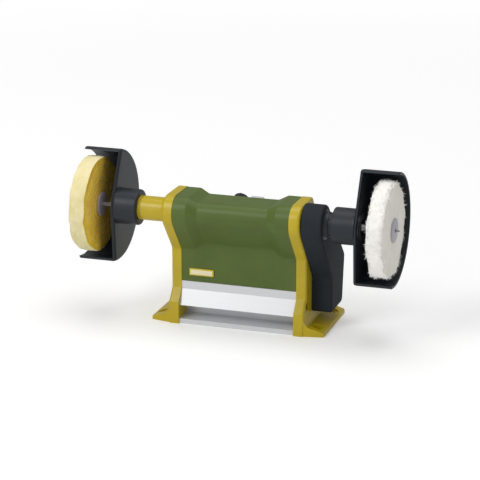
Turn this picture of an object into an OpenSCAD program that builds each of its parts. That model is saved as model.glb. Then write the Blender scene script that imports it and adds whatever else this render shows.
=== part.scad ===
// Bench polishing lathe with two 100 mm buffs, belt driven spindle and swivelling guards.
// X runs along the spindle, Y to the back, Z up. The origin is on the bench, in the middle of the base.

/* [Spindle] */
// Height of the spindle axis above the bench
spindle_height = 123; // [118:1:130]
// Diameter of the spindle between its two bearings
spindle_d = 12; // [11:0.5:12]
// Diameter of each nose where it leaves the spindle
nose_d = 8.5; // [7:0.5:10]
// Distance from the middle of the machine to the tip of each nose
nose_reach = 173; // [171:1:178]

/* [Buffs] */
// Diameter of both buffs
buff_d = 100; // [80:1:104]
// Thickness of the stitched muslin buff
muslin_w = 16.6; // [12:0.2:17]
// Thickness of the loose cotton buff
cotton_w = 16.6; // [12:0.2:17]
// Distance from the middle of the machine to the inner face of each buff
buff_at = 149.8; // [149:0.2:151]
// Diameter of the washers that hold each buff
washer_d = 25; // [20:1:30]

/* [Guards] */
// Outer radius of each half round guard
guard_r = 59.4; // [56:0.2:62]
// How far the straight edge of a guard lies in front of the axis
guard_front = 4.1; // [3:0.1:6]
// Angle by which the guards lean back
guard_lean = 11; // [0:1:30]
// Wall thickness of the guards
guard_wall = 3; // [2.5:0.1:4]
// Distance from the middle of the machine to the free edge of a guard
guard_edge = 170; // [168:1:174]
// Outer radius of the guard collars
collar_r = 18.9; // [17:0.1:20]
// Radius of the necks that the guards turn on
neck_r = 12.8; // [12.5:0.1:13.5]

/* [Body] */
// Width between the two end frames
body_w = 126; // [120:1:140]
// Thickness of each end frame
frame_t = 11; // [10:0.5:12]
// Radius of the rounded head of the end frames
head_r = 23.7; // [22:0.1:26]
// Height of the flat top above the spindle axis
head_top = 19.5; // [18:0.5:22]
// Wall thickness of the housing shell
shell_wall = 2.6; // [2:0.1:3]
// Height of the seam between housing shell and base profile
seam_z = 45; // [44:1:47]

/* [Foot] */
// How far the base reaches in front of the spindle axis
foot_front = 4; // [3:0.5:6]
// How far the base reaches behind the spindle axis
foot_back = 85; // [83:1:90]
// Width of the screw-down flange outside each end frame
flange_w = 20.5; // [18:0.5:24]
// Diameter of the four screw-down holes
bench_hole_d = 5.5; // [4.5:0.5:6.5]

/* [Belt drive] */
// Depth of the belt cover, outside the right end frame
cover_w = 22; // [21:0.5:24]
// Radius of the spindle pulley
spindle_pulley_r = 15; // [13:0.5:15]
// Radius of the motor pulley
motor_pulley_r = 7.5; // [6:0.5:9]
// Distance of the motor shaft behind the spindle axis
motor_y = 50; // [48:0.5:52]
// Height of the motor shaft above the bench
motor_z = 48; // [46:0.5:49]
// Diameter of the motor can
motor_d = 43; // [40:1:44]

/* [Controls] */
// Diameter of the speed knob
knob_d = 16; // [12:1:18]
// Height of the speed knob
knob_h = 10; // [8:1:14]
// Width of the rocker switch
switch_w = 13.5; // [12:0.5:16]
// Length of the rocker switch
switch_l = 21; // [18:0.5:24]

/* [Hidden] */
$fn = 64;

mustard = "#b8a42d";
green = "#5f6f3b";
slate = "#33383c";
silver_white = "#d9dbdb";
steel = "#a9adb0";
dark_steel = "#55595c";

// Clearance of a turning fit and of a seated piece
fit = 0.08;
seat = 0.02;
// Chords of one rounded edge of a moulding
edge_steps = 3;
big = 400;

half_w = body_w / 2;
frame_x = half_w + frame_t;
cover_x = frame_x + cover_w;
top_z = spindle_height + head_top;
base_mid = (foot_back - foot_front) / 2;

// Lines of the end frame, measured from the spindle axis
stem_y = 6.4;
waist_z = 80;
toe_z = 24;
ankle_z = 37;
back_y = foot_back - 5;
shoulder_z = 66;
ridge_y = 29;

// Corners of the end frame, each with its radius and the number of chords of its arc.
// The casting is drawn a little too deep and too wide, and then cut level.
below = 8;
frame_outline = [
    [-foot_front, -below, 0, 0],
    [foot_back, -below, 0, 0],
    [foot_back, toe_z, 3, 2],
    [back_y, ankle_z, 4, 2],
    [back_y, shoulder_z, 10, 3],
    [ridge_y, top_z, 4, 2],
    [-head_r, top_z, 16.5, 6],
    [-head_r, spindle_height - 6, 23, 4],
    [stem_y, waist_z, 8, 3],
    [stem_y, ankle_z, 4, 2],
    [-foot_front, toe_z, 3, 2]];

// The shell meets the frames on their own outline and is waisted between them
shell_gap = 0.5;
shell_end = [
    [stem_y + shell_gap, seam_z, 0, 0],
    [back_y - shell_gap, seam_z, 0, 0],
    [back_y - shell_gap, shoulder_z, 10, 3],
    [ridge_y, top_z - shell_gap, 4, 3],
    [-head_r + shell_gap, top_z - shell_gap, 16, 6],
    [-head_r + shell_gap, spindle_height - 6, 22, 4],
    [stem_y + shell_gap, waist_z, 8, 4]];
waist_drop = 5.5;
shell_mid = [
    [stem_y + 1.6, seam_z, 0, 0],
    [back_y - 2, seam_z, 0, 0],
    [back_y - 2, shoulder_z - 4, 10, 3],
    [ridge_y - 2, top_z - waist_drop, 4, 3],
    [-head_r + waist_drop, top_z - waist_drop, 12, 6],
    [-head_r + waist_drop, spindle_height - 4.5, 15, 4],
    [stem_y + 1.6, waist_z + 7, 8, 4]];
shell_end_w = 14.7;
shell_flare_w = 10.6;

// The belt cover wraps both pulleys: a lobe round the spindle and a deep pocket behind
lobe_r = 20;
cover_outline = [
    [26, 18, 4, 2],
    [69.5, 18.4, 6, 3],
    [76.5, 69.8, 7, 4],
    [8.7, spindle_height + lobe_r, lobe_r - 1, 5],
    [-lobe_r, spindle_height + lobe_r, lobe_r - 1, 8],
    [-lobe_r, spindle_height - 6.9, lobe_r - 1, 5],
    [26.5, 57, 14, 6]];
cover_wall = 2.4;

// Plane of the controls, on the sloping back of the shell
panel_run = shell_mid[2].x - shell_mid[3].x;
panel_fall = shell_mid[3].y - shell_mid[2].y;
panel_tilt = atan2(panel_fall, panel_run);
cord_x = -46;
cord_z = 56;
knob_x = -8;
knob_down = 14;
switch_x = 13.3;
switch_down = 12.5;

guard_from = 128.8;
collar_from = 105;
bearing_r = 14;
bearing_w = 8;
race_r = 8.6;
neck_end = guard_from + guard_wall + 3;
neck_bore_r = 9;
ring_x = 117;
clip_w = 1.2;
belt_w = 9;
belt_t = 1.6;
pulley_x = frame_x + 4;
pulley_w = 12;
bench_hole_x = frame_x + 11.5;
bench_hole_y = [12, foot_back - 16];
channel_y = 9.5;
channel_z = 29.5;
screw_spots = [[channel_y, channel_z], [2 * base_mid - channel_y, channel_z]];
cover_screw_spots = [[33, 28], [63, 28], [24, 85]];
motor_screw_r = 14;

// Outline tools: unit vector, offset of a corner list and its rounded points
function unit(v) = v / norm(v);
function point(c) = [c.x, c.y];
function left_normal(v) = [-v.y, v.x];
function turn(a, b) = a.x * b.y - a.y * b.x;
function wrap(list, i) = list[(i + len(list)) % len(list)];

function inset(outline, d) = [for (i = [0:len(outline) - 1])
    let (c = outline[i],
        before = unit(point(c) - point(wrap(outline, i - 1))),
        after = unit(point(wrap(outline, i + 1)) - point(c)),
        n0 = left_normal(before),
        n1 = left_normal(after),
        p = point(c) + d * (n0 + n1) / (1 + n0 * n1),
        r = turn(before, after) > 0 ? c[2] - d : c[2] + d)
    [p.x, p.y, c[3] == 0 ? 0 : max(r, 0.2), c[3]]];

function mix(a, b, t) = [for (i = [0:len(a) - 1]) a[i] * (1 - t) + b[i] * t];

function corner_points(p0, p1, p2, r, steps) =
    let (u = unit(p0 - p1),
        v = unit(p2 - p1),
        half = acos(u * v) / 2,
        centre = p1 + unit(u + v) * r / sin(half),
        start = p1 + u * r / tan(half) - centre,
        end = p1 + v * r / tan(half) - centre,
        a0 = atan2(start.y, start.x),
        sweep = (atan2(end.y, end.x) - a0 + 540) % 360 - 180)
    [for (k = [0:steps]) let (a = a0 + sweep * k / steps) centre + r * [cos(a), sin(a)]];

function all_points(outline) = [for (i = [0:len(outline) - 1])
    let (c = outline[i], p0 = point(wrap(outline, i - 1)), p2 = point(wrap(outline, i + 1)))
    each c[3] == 0 ? [point(c)] : corner_points(p0, point(c), p2, c[2], c[3])];

// Arcs that meet in one point keep it once
function rounded(outline) = let (all = all_points(outline))
    [for (i = [0:len(all) - 1]) if (norm(all[i] - wrap(all, i + 1)) > 0.01) all[i]];

// Rings of a prism from x0 to x1 whose end edges are rounded by r0 and r1
function edge_rings(outline, x0, x1, r0, r1) = concat(
    [for (k = [0:edge_steps]) let (a = 90 * k / edge_steps)
        [x0 + r0 * (1 - cos(a)), inset(outline, r0 * (1 - sin(a)))]],
    [for (k = [edge_steps:-1:0]) let (a = 90 * k / edge_steps)
        [x1 - r1 * (1 - cos(a)), inset(outline, r1 * (1 - sin(a)))]]);

// A moulding skinned over rings, each an X position and a corner list
module moulding(rings) {
    loops = [for (ring = rings) [for (p = rounded(ring[1])) [ring[0], p.x, p.y]]];
    n = len(loops[0]);
    last = len(loops) - 1;
    polyhedron(
        points = [for (loop = loops) each loop],
        faces = concat(
            [[for (j = [0:n - 1]) j]],
            [[for (j = [n - 1:-1:0]) last * n + j]],
            [for (i = [0:last - 1]) for (j = [0:n - 1]) let (k = (j + 1) % n)
                [i * n + j, (i + 1) * n + j, (i + 1) * n + k]],
            [for (i = [0:last - 1]) for (j = [0:n - 1]) let (k = (j + 1) % n)
                [i * n + j, (i + 1) * n + k, i * n + k]]));
}

// A moulding drawn too long at both ends and cut level, so that each end is one flat face
module level_moulding(rings) {
    spare = 1;
    x0 = rings[0][0];
    x1 = rings[len(rings) - 1][0];
    intersection() {
        moulding(concat([[x0 - spare, rings[0][1]]], rings, [[x1 + spare, rings[len(rings) - 1][1]]]));
        translate([x0, -big / 2, -big / 2]) cube([x1 - x0, big, big]);
    }
}

// Places the machine so that the origin is in the middle of its base
module machine() translate([0, -base_mid, 0]) children();

// Extrudes a (y, z) outline along X
module along_x(x0, x1) translate([x0, 0, 0]) rotate([90, 0, 90]) linear_extrude(x1 - x0) children();

module at_axis() translate([0, 0, spindle_height]) children();
module at_motor() translate([0, motor_y, motor_z]) children();

// A cylinder along X
module bar(r, x0, x1) translate([x0, 0, 0]) rotate([0, 90, 0]) cylinder(r = r, h = x1 - x0);

// A body turned about X from (x, radius) points
module turned(points) rotate([0, 90, 0]) rotate_extrude() polygon([for (p = points) [p.y, p.x]]);

module tube(r, bore, x0, x1) turned([[x0, bore], [x0, r], [x1, r], [x1, bore]]);

module mirrored(left) mirror([left ? 1 : 0, 0, 0]) children();

// Frames and housing

// Foot flange with a rising root where it meets the frame
module flange() {
    root_h = 16;
    edge_h = 4.4;
    slope_h = 10;
    front = -foot_front + 0.3;
    front_slant = 5.4;
    profile = [
        [frame_x - 5, -below / 2, 0, 0],
        [frame_x + flange_w, -below / 2, 0, 0],
        [frame_x + flange_w, edge_h, 1.6, 2],
        [frame_x + 3.5, slope_h, 4, 3],
        [frame_x - 0.5, root_h, 0, 0],
        [frame_x - 5, root_h, 0, 0]];
    difference() {
        translate([0, foot_back - 0.8, 0]) rotate([90, 0, 0])
            linear_extrude(foot_back - 0.8 - front) polygon(rounded(profile));
        translate([0, 0, -below]) linear_extrude(root_h + below) polygon([
            [frame_x - 5, front], [frame_x + flange_w + 1, front + front_slant],
            [frame_x + flange_w + 1, front - 1], [frame_x - 5, front - 1]]);
        for (y = bench_hole_y) translate([bench_hole_x, y, -below])
            cylinder(d = bench_hole_d, h = root_h + below);
        for (y = bench_hole_y) translate([bench_hole_x, y, edge_h + 0.4])
            cylinder(d = bench_hole_d * 2.1, h = root_h);
    }
}

// Casting shared by both end frames: outer outline, hollow inner side with bosses, flange
module frame_casting() {
    pocket_depth = 7;
    rim = 4;
    difference() {
        union() {
            level_moulding(edge_rings(frame_outline, half_w - 1, frame_x, 0.6, 2.4));
            flange();
        }
        difference() {
            along_x(half_w - 2, half_w + pocket_depth) polygon(rounded(inset(frame_outline, rim)));
            at_axis() bar(bearing_r + 4, 0, big);
            at_motor() bar(motor_d / 2 + 2, 0, big);
            for (s = screw_spots) translate([0, s.x, s.y]) bar(5, 0, big);
            along_x(0, big) polygon([[-foot_front - 1, -below - 1], [foot_back + 1, -below - 1],
                [foot_back + 1, toe_z - 4], [-foot_front - 1, toe_z - 4]]);
        }
        along_x(half_w - 2, big) polygon([[-big, 0], [big, 0], [big, -below * 2], [-big, -below * 2]]);
        translate([half_w - big, -big / 2, -big / 2]) cube(big);
        at_axis() bar(bearing_r, half_w - 2, half_w + bearing_w + 1);
        at_axis() bar(race_r + 1, half_w, big);
        for (s = screw_spots) translate([0, s.x, s.y]) {
            bar(2.2, 0, big);
            bar(4.2, frame_x - 4, big);
        }
    }
}

module left_end_frame() machine() color(mustard) mirrored(true) difference() {
    union() {
        frame_casting();
        at_axis() neck(frame_x - 1, 17, frame_x + 6);
    }
    at_axis() neck_cuts();
}

module right_end_frame() machine() color(mustard) difference() {
    frame_casting();
    at_motor() bar(9, 0, big);
    for (a = [45:90:315]) translate([0, motor_y, motor_z]) rotate([a, 0, 0])
        translate([0, motor_screw_r, 0]) bar(1.7, 0, big);
    for (s = cover_screw_spots) translate([0, s.x, s.y]) {
        bar(1.7, 0, big);
        bar(3.2, half_w - 1, frame_x - 4);
    }
}

// Neck that a guard turns on, flared into the face that it grows from
module neck(from, flare_r, flare_to) {
    flare = [for (a = [0:15:90]) [flare_to - (flare_to - from) * cos(a), flare_r - (flare_r - neck_r) * sin(a)]];
    turned(concat([[from, 0]], flare, [[neck_end - 0.6, neck_r], [neck_end, neck_r - 0.6], [neck_end, 0]]));
}

module neck_cuts() {
    bar(neck_bore_r, frame_x - 3, big);
    tube(neck_r + 1, neck_r - 0.8, collar_from - 4.2, collar_from - 2.4);
    tube(neck_r + 1, neck_r - 2.4, ring_x - 1.4, ring_x + 1.4);
    tube(neck_r + 1, neck_r - 1.2, guard_from + guard_wall + 0.3, guard_from + guard_wall + 0.3 + clip_w + 0.1);
}

module housing_shell() machine() color(green) {
    flare_at = half_w - shell_end_w;
    mid_at = flare_at - shell_flare_w;
    blend = [[mid_at - 0.8, 0], [mid_at + 0.8, 0.05], [flare_at - 0.8, 0.95], [flare_at + 0.8, 1]];
    rings = concat(
        [[-half_w - 1, shell_end]],
        [for (i = [3:-1:0]) [-blend[i].x, mix(shell_mid, shell_end, blend[i].y)]],
        [for (b = blend) [b.x, mix(shell_mid, shell_end, b.y)]],
        [[half_w + 1, shell_end]]);
    hollow = [for (c = inset(shell_mid, shell_wall)) [c.x, c.y < seam_z + 10 ? seam_z - 9 : c.y, c[2], c[3]]];
    difference() {
        intersection() {
            moulding(rings);
            translate([-half_w, -big / 2, 0]) cube([body_w, big, big]);
        }
        difference() {
            along_x(-half_w - 1, half_w + 1) polygon(rounded(hollow));
            on_board() for (p = board_holes) translate([p.x, p.y, 0]) cylinder(r = 3, h = big);
        }
        on_board() for (p = board_holes) translate([p.x, p.y, -1]) cylinder(r = 1.2, h = 10);
        on_panel(knob_x, knob_down) translate([0, 0, -10]) cylinder(d = 7.4, h = 20);
        on_panel(switch_x, switch_down) translate([0, 0, -3])
            cube([switch_w - 2, switch_l - 1.6, 20], center = true);
        for (x = [-30:6:30]) translate([x, back_y - 6, seam_z + 5]) cube([2.6, 12, 9]);
        translate([cord_x, back_y - 6, cord_z]) rotate([-90, 0, 0]) cylinder(r = 6, h = 20);
    }
    for (y = [stem_y + 3.3, back_y - 5.2]) translate([-half_w + 4, y, seam_z - 4])
        cube([body_w - 8, 1.9, 8]);
}

// Local frame of the controls: Z out of the panel, Y down the slope
module on_panel(x, down) {
    edge = shell_mid[3];
    slope = unit([panel_run, -panel_fall]);
    translate([x, edge.x + down * slope.x, edge.y + down * slope.y]) rotate([-panel_tilt, 0, 0]) children();
}

// The board hangs below the panel on four posts of the shell
board_l = 58;
board_h = 34;
board_t = 1.6;
board_holes = [for (x = [-1, 1], y = [-1, 1]) [x * (board_l / 2 - 4), y * (board_h / 2 - 4)]];
module on_board() on_panel(-23, 26) translate([0, 0, -20]) children();

// Aluminium base profile, the same at front and back, with a tray slot along each side
module base_profile() machine() color(silver_white) along_x(-half_w, half_w) {
    floor_t = 5.3;
    slot_h = 14.7;
    slot_d = 24;
    skin = 2.5;
    top_y = stem_y + 0.6;
    lip_y = -foot_front + 2;
    front = [
        [base_mid, floor_t], [lip_y + slot_d + skin, floor_t],
        [lip_y + slot_d + skin, floor_t + slot_h + skin], [lip_y + 4.5, floor_t + slot_h + skin],
        [top_y + skin, ankle_z], [top_y + skin, seam_z - 0.2], [top_y, seam_z - 0.2],
        [top_y, ankle_z - 1], [lip_y + 1, floor_t + slot_h], [lip_y + slot_d, floor_t + slot_h],
        [lip_y + slot_d, floor_t], [lip_y, floor_t], [lip_y, 0]];
    back = [for (i = [len(front) - 1:-1:1]) [2 * base_mid - front[i].x, front[i].y]];
    difference() {
        union() {
            polygon(concat(front, back));
            for (s = screw_spots) translate([s.x, s.y]) circle(r = 4.6);
        }
        for (s = screw_spots) translate([s.x, s.y]) circle(r = 1.9);
    }
}

// Belt cover, a moulding open towards the end frame, with posts for its screws
module belt_cover() machine() color(slate) difference() {
    level_moulding(edge_rings(cover_outline, frame_x + 0.2, cover_x, 0.4, 2.8));
    difference() {
        along_x(frame_x - 1, cover_x - cover_wall) polygon(rounded(inset(cover_outline, cover_wall)));
        for (s = cover_screw_spots) translate([0, s.x, s.y]) bar(3.6, 0, big);
    }
    for (s = cover_screw_spots) translate([0, s.x, s.y]) bar(1.35, frame_x - 1, cover_x - 4);
    at_axis() bar(neck_seat_r, frame_x, big);
}

// Right neck, a flanged sleeve held in the wall of the belt cover
neck_seat_r = 14;
module right_neck() machine() color(slate) at_axis() difference() {
    union() {
        neck(cover_x, 15.8, collar_from - 1.6);
        bar(neck_seat_r - seat, cover_x - cover_wall - 1, cover_x + 1);
        bar(neck_seat_r + 1.6, cover_x - cover_wall - 1.6, cover_x - cover_wall);
    }
    neck_cuts();
}

// Bearings and spindle

module outer_ring() at_axis()
    tube(bearing_r - seat, race_r, half_w + 1, half_w + bearing_w + 1);
module inner_ring() at_axis()
    tube(race_r - fit, spindle_d / 2 + seat, half_w + 1, half_w + bearing_w + 1);

module left_bearing_outer_ring() machine() color(steel) mirrored(true) outer_ring();
module right_bearing_outer_ring() machine() color(steel) outer_ring();
module left_bearing_inner_ring() machine() color(dark_steel) mirrored(true) inner_ring();
module right_bearing_inner_ring() machine() color(dark_steel) inner_ring();

shaft_end = guard_from;
spigot_r = 3;
spigot_l = 14;
module spindle_shaft() machine() color(steel) at_axis() difference() {
    r = spindle_d / 2;
    turned([[-shaft_end, 0], [-shaft_end, r - 0.6], [-shaft_end + 0.6, r], [shaft_end - 0.6, r],
        [shaft_end, r - 0.6], [shaft_end, 0]]);
    for (s = [-1, 1]) scale([s, 1, 1]) {
        bar(spigot_r, shaft_end - spigot_l - 1, shaft_end + 1);
        tube(r + 1, r - 0.6, half_w - 0.4, half_w + 0.9);
    }
}

// Slender taper that screws into the centre of a buff
module nose() at_axis() {
    r = nose_d / 2;
    taper = [[138, r * 0.72], [142, 2.5], [buff_at - 3, 2.1], [nose_reach - 1.2, 0.75]];
    turned(concat([[shaft_end - spigot_l, 0], [shaft_end - spigot_l, spigot_r - seat], [shaft_end, spigot_r - seat],
        [shaft_end, spindle_d / 2 - 0.8], [shaft_end + 2.5, spindle_d / 2 - 0.8], [shaft_end + 3, r],
        [134.5, r]], taper, [[nose_reach, 0.3], [nose_reach, 0]]));
}
module left_spindle_nose() machine() color(steel) mirrored(true) nose();
module right_spindle_nose() machine() color(steel) nose();

module circlip(r_in, r_out, x) difference() {
    tube(r_out, r_in, x, x + clip_w - 0.1);
    translate([x - 1, -r_out - 1, -r_out * 1.5]) cube([clip_w + 2, r_out * 2 + 2, r_out * 0.8]);
}
module spindle_circlips() machine() color(dark_steel) at_axis() for (s = [0, 1]) mirror([s, 0, 0])
    circlip(spindle_d / 2 - 0.55, spindle_d / 2 + 2, half_w - 0.3);

// Ribbed pulleys and their belt
module ribbed_pulley(r, bore) {
    rib = 0.8;
    ribs = 4;
    pitch = belt_w / ribs;
    x0 = pulley_x + (pulley_w - belt_w) / 2;
    side_r = r + 1.4;
    grooves = [for (i = [0:ribs - 1]) each [[x0 + pitch * i, r], [x0 + pitch * (i + 0.5), r - rib]]];
    turned(concat([[pulley_x, bore], [pulley_x, side_r], [x0 - 0.4, side_r]], grooves,
        [[x0 + belt_w, r], [x0 + belt_w + 0.4, side_r], [pulley_x + pulley_w, side_r],
        [pulley_x + pulley_w, bore]]));
}
module spindle_pulley() machine() color(steel) at_axis() ribbed_pulley(spindle_pulley_r, spindle_d / 2 + seat);
module motor_pulley() machine() color(steel) at_motor() ribbed_pulley(motor_pulley_r, motor_shaft_r + seat);

belt_clear = 0.3;
module belt_loop(extra) hull() {
    translate([0, spindle_height]) circle(r = spindle_pulley_r + extra);
    translate([motor_y, motor_z]) circle(r = motor_pulley_r + extra);
}
module drive_belt() machine() color("#222222") {
    x0 = pulley_x + (pulley_w - belt_w) / 2 + 0.5;
    along_x(x0, x0 + belt_w - 1) difference() {
        belt_loop(belt_clear + belt_t);
        belt_loop(belt_clear);
    }
}

// Buffs

// Muslin buff, sewn in rings that draw its faces in
module muslin_buff() at_axis() {
    r = buff_d / 2;
    round_r = 1.6;
    rows = [for (k = [0:5]) 16 + 5.4 * k];
    dip = 0.45;
    face = [for (row = rows) each [[-2, 0], [0, dip], [2, 0]] + [[row, 0], [row, 0], [row, 0]]];
    inner = [for (p = face) [buff_at + p.y, p.x]];
    outer = [for (i = [len(face) - 1:-1:0]) [buff_at + muslin_w - face[i].y, face[i].x]];
    turned(concat([[buff_at, 2.3]], inner, [[buff_at, r - round_r], [buff_at + round_r, r],
        [buff_at + muslin_w - round_r, r], [buff_at + muslin_w, r - round_r]], outer,
        [[buff_at + muslin_w, 2.3]]));
}
module left_muslin_buff() machine() color("#d9c463") mirrored(true) muslin_buff();

// Cotton buff, with a rim that frays into shallow lobes
module right_cotton_buff() machine() color("#ece9df") at_axis() {
    lobes = 18;
    depth = 0.9;
    r = buff_d / 2 - depth;
    rim = [for (a = [0:4:356]) (r + depth * sin(lobes * a + 20 * sin(3 * a))) * [cos(a), sin(a)]];
    difference() {
        union() {
            along_x(buff_at + 1.5, buff_at + cotton_w - 1.5) polygon(rim);
            bar(r - 3, buff_at, buff_at + cotton_w);
        }
        bar(2.3, buff_at - 1, buff_at + cotton_w + 1);
    }
}

// Pair of washers, one on each face of a buff
washer_t = 2.2;
module washers(buff_w) at_axis() for (side = [0, 1]) {
    from = side == 0 ? buff_at - washer_t : buff_at + buff_w;
    edge = 0.6;
    r = washer_d / 2;
    rise = side == 0 ? [[0, r - 1.6], [edge, r]] : [[0, r], [washer_t - edge, r]];
    tail = side == 0 ? [[washer_t, r], [washer_t, 2.3]] : [[washer_t, r - 1.6], [washer_t, 2.3]];
    turned([for (p = concat([[0, 2.3]], rise, tail)) [from + p.x, p.y]]);
}
module left_buff_washers() machine() color("#8a8788") mirrored(true) washers(muslin_w);
module right_buff_washers() machine() color("#a9a6a8") washers(cotton_w);

// Guards

// The front edge runs from each end of the arc to the collar, touching a circle round it
hub_r = collar_r + 0.6;
hub_lean = asin(hub_r / norm([guard_r, guard_front])) - atan2(guard_front, guard_r);
guard_outline = [
    [-guard_front, -guard_r, 3, 2],
    [guard_r, -guard_r, guard_r, 14],
    [guard_r, guard_r, guard_r, 14],
    [-guard_front, guard_r, 3, 2],
    [-guard_front - guard_r * tan(hub_lean), 0, hub_r, 4]];
module guard_body() at_axis() rotate([-guard_lean, 0, 0]) {
    r = guard_r - guard_wall;
    round_r = 3.2;
    difference() {
        union() {
            difference() {
                moulding(edge_rings(guard_outline, guard_from, guard_edge, round_r, 1.2));
                along_x(guard_from + guard_wall, guard_edge + 1)
                    polygon(rounded([[-guard_r, -r, 0, 0], [r, -r, r, 14], [r, r, r, 14], [-guard_r, r, 0, 0]]));
            }
            turned([[collar_from, 0], [collar_from, collar_r - 1.6], [collar_from + 0.5, collar_r - 0.5],
                [collar_from + 1.6, collar_r], [guard_from - 1.5, collar_r], [guard_from + 0.5, collar_r + 0.5],
                [guard_from + guard_wall, collar_r - 2], [guard_from + guard_wall, 0]]);
        }
        bar(neck_r + fit, collar_from - 1, guard_edge);
    }
}
module left_guard() machine() color(slate) mirrored(true) guard_body();
module right_guard() machine() color(slate) guard_body();

module friction_ring() at_axis() translate([ring_x, 0, 0]) rotate([0, 90, 0]) rotate_extrude()
    translate([neck_r + fit / 2 - 1.2, 0]) circle(r = 1.2, $fn = 24);
module left_guard_friction_ring() machine() color("#1c1c1c") mirrored(true) friction_ring();
module right_guard_friction_ring() machine() color("#1c1c1c") friction_ring();

module guard_circlip() at_axis() circlip(neck_r - 1.15, neck_r + 1.6, guard_from + guard_wall + 0.35);
module left_guard_circlip() machine() color(dark_steel) mirrored(true) guard_circlip();
module right_guard_circlip() machine() color(dark_steel) guard_circlip();

// Motor

motor_shaft_r = 2.5;
motor_len = 56;
can_to = half_w - 3;
can_from = can_to - motor_len;
can_wall = 1.6;
magnet_t = 3;
armature_r = motor_d / 2 - can_wall - magnet_t - 0.8;
module motor_can() machine() color(dark_steel) at_motor()
    tube(motor_d / 2, motor_d / 2 - can_wall, can_from, can_to - seat);

module motor_drive_plate() machine() color(steel) at_motor() difference() {
    tube(motor_d / 2, 4.5, can_to, half_w - seat);
    for (a = [45:90:315]) rotate([a, 0, 0]) translate([0, motor_screw_r, 0]) bar(1.5, can_to - 1, half_w + 1);
}

module motor_brush_plate() machine() color("#3b3733") at_motor()
    tube(motor_d / 2, 4.5, can_from - 4, can_from - seat);

module motor_magnets() machine() color("#4a4a4a") at_motor() for (s = [0, 180]) rotate([s, 0, 0]) difference() {
    tube(motor_d / 2 - can_wall - 0.05, motor_d / 2 - can_wall - magnet_t, can_from + 12, can_to - 12);
    translate([0, -motor_d, -motor_d / 2]) cube([big, motor_d * 1.2, motor_d]);
}

module motor_bushes() machine() color("#b08a4a") at_motor() for (x = [can_from - 4, can_to])
    tube(4.5 - seat, motor_shaft_r + fit, x + seat, x + 3 - seat);

brush_x = can_from + 3;
commutator_r = 6;
module motor_brushes() machine() color("#2a2a2a") at_motor() for (s = [0, 180]) rotate([s, 0, 0])
    translate([brush_x, commutator_r + 0.3, -2]) cube([4, motor_d / 2 - can_wall - commutator_r - 0.4, 4]);

module motor_shaft() machine() color(steel) at_motor()
    turned([[can_from - 7, 0], [can_from - 7, motor_shaft_r], [pulley_x + pulley_w + 0.5, motor_shaft_r],
        [pulley_x + pulley_w + 0.5, 0]]);

module motor_armature() machine() color("#6b6660") at_motor() difference() {
    bar(armature_r, can_from + 13, can_to - 13);
    bar(motor_shaft_r + seat, 0, big);
    for (a = [0:60:300]) rotate([a, 0, 0]) translate([can_from, armature_r - 5, -1]) cube([motor_len, 9, 2]);
}

module motor_commutator() machine() color("#b87d4b") at_motor()
    tube(commutator_r, motor_shaft_r + seat, can_from + 1.5, can_from + 9);

module motor_fan() machine() color("#3a3a3a") at_motor() {
    x0 = can_to - 10;
    tube(6, motor_shaft_r + seat, x0, x0 + 7);
    for (a = [0:45:315]) rotate([a, 0, 0]) translate([x0, 5, -0.6]) cube([6, armature_r - 5, 1.2]);
}

// Fasteners

// Screw along X with its head at the far end of the given span
module screw(r, head_r, head_h, x0, x1) difference() {
    union() {
        bar(r, x0, x1);
        bar(head_r, x1 - seat, x1 + head_h);
    }
    translate([x1 + head_h * 0.4, 0, 0]) rotate([0, 90, 0]) cylinder(r = r * 0.7, h = head_h, $fn = 6);
}

module frame_screw_set() for (s = screw_spots) translate([0, s.x, s.y])
    screw(1.85, 3.8, 2.6, half_w - 14, frame_x - 4 + seat);
module left_frame_screws() machine() color(dark_steel) mirrored(true) frame_screw_set();
module right_frame_screws() machine() color(dark_steel) frame_screw_set();

module motor_screws() machine() color(dark_steel) at_motor() for (a = [45:90:315]) rotate([a, 0, 0])
    translate([0, motor_screw_r, 0]) screw(1.4, 2.6, 1.6, can_to + 0.2, frame_x + seat);

module cover_screws() machine() color(dark_steel) for (s = cover_screw_spots) translate([0, s.x, s.y])
    mirror([1, 0, 0]) screw(1.3, 2.8, 1.8, -cover_x + 5, -frame_x + 4 + seat);

// Controls

module control_board() machine() on_board() {
    color("#2f5d3a") difference() {
        translate([-board_l / 2, -board_h / 2, -board_t]) cube([board_l, board_h, board_t - seat]);
        for (p = board_holes) translate([p.x, p.y, -3]) cylinder(r = 1.6, h = 6);
    }
    color("#9a9da0") for (x = [-20:4:-4]) translate([x, -4, -0.1]) cube([1.4, 12, 9]);
    color("#9a9da0") translate([-20, -4, -0.1]) cube([17.4, 12, 1.6]);
    color("#222222") translate([19, 2, -0.1]) cylinder(r = 5, h = 11);
    color("#c9a227") translate([4, 4, -0.1]) cube([8, 6, 7]);
}
module board_screws() machine() color(steel) on_board() for (p = board_holes)
    translate([p.x, p.y, -board_t - 1.6]) {
        cylinder(r = 1.2 - seat, h = 9);
        cylinder(r = 2.6, h = 1.6 - seat);
    }

pot_shaft_r = 3;
module potentiometer() machine() color("#6d7377") on_panel(knob_x, knob_down) difference() {
    union() {
        translate([0, 0, -shell_wall - 9 - seat]) cylinder(r = 7, h = 9);
        translate([0, 0, -shell_wall - 1]) cylinder(r = 3.6, h = shell_wall + 2.2);
        translate([0, 0, seat]) cylinder(r = 5, h = 1.1, $fn = 6);
    }
    translate([0, 0, -shell_wall - 7]) cylinder(r = pot_shaft_r + fit, h = 20);
}
module potentiometer_shaft() machine() color(steel) on_panel(knob_x, knob_down)
    translate([0, 0, -shell_wall - 6.8]) cylinder(r = pot_shaft_r, h = shell_wall + 6.8 + knob_h - 2.5);

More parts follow.
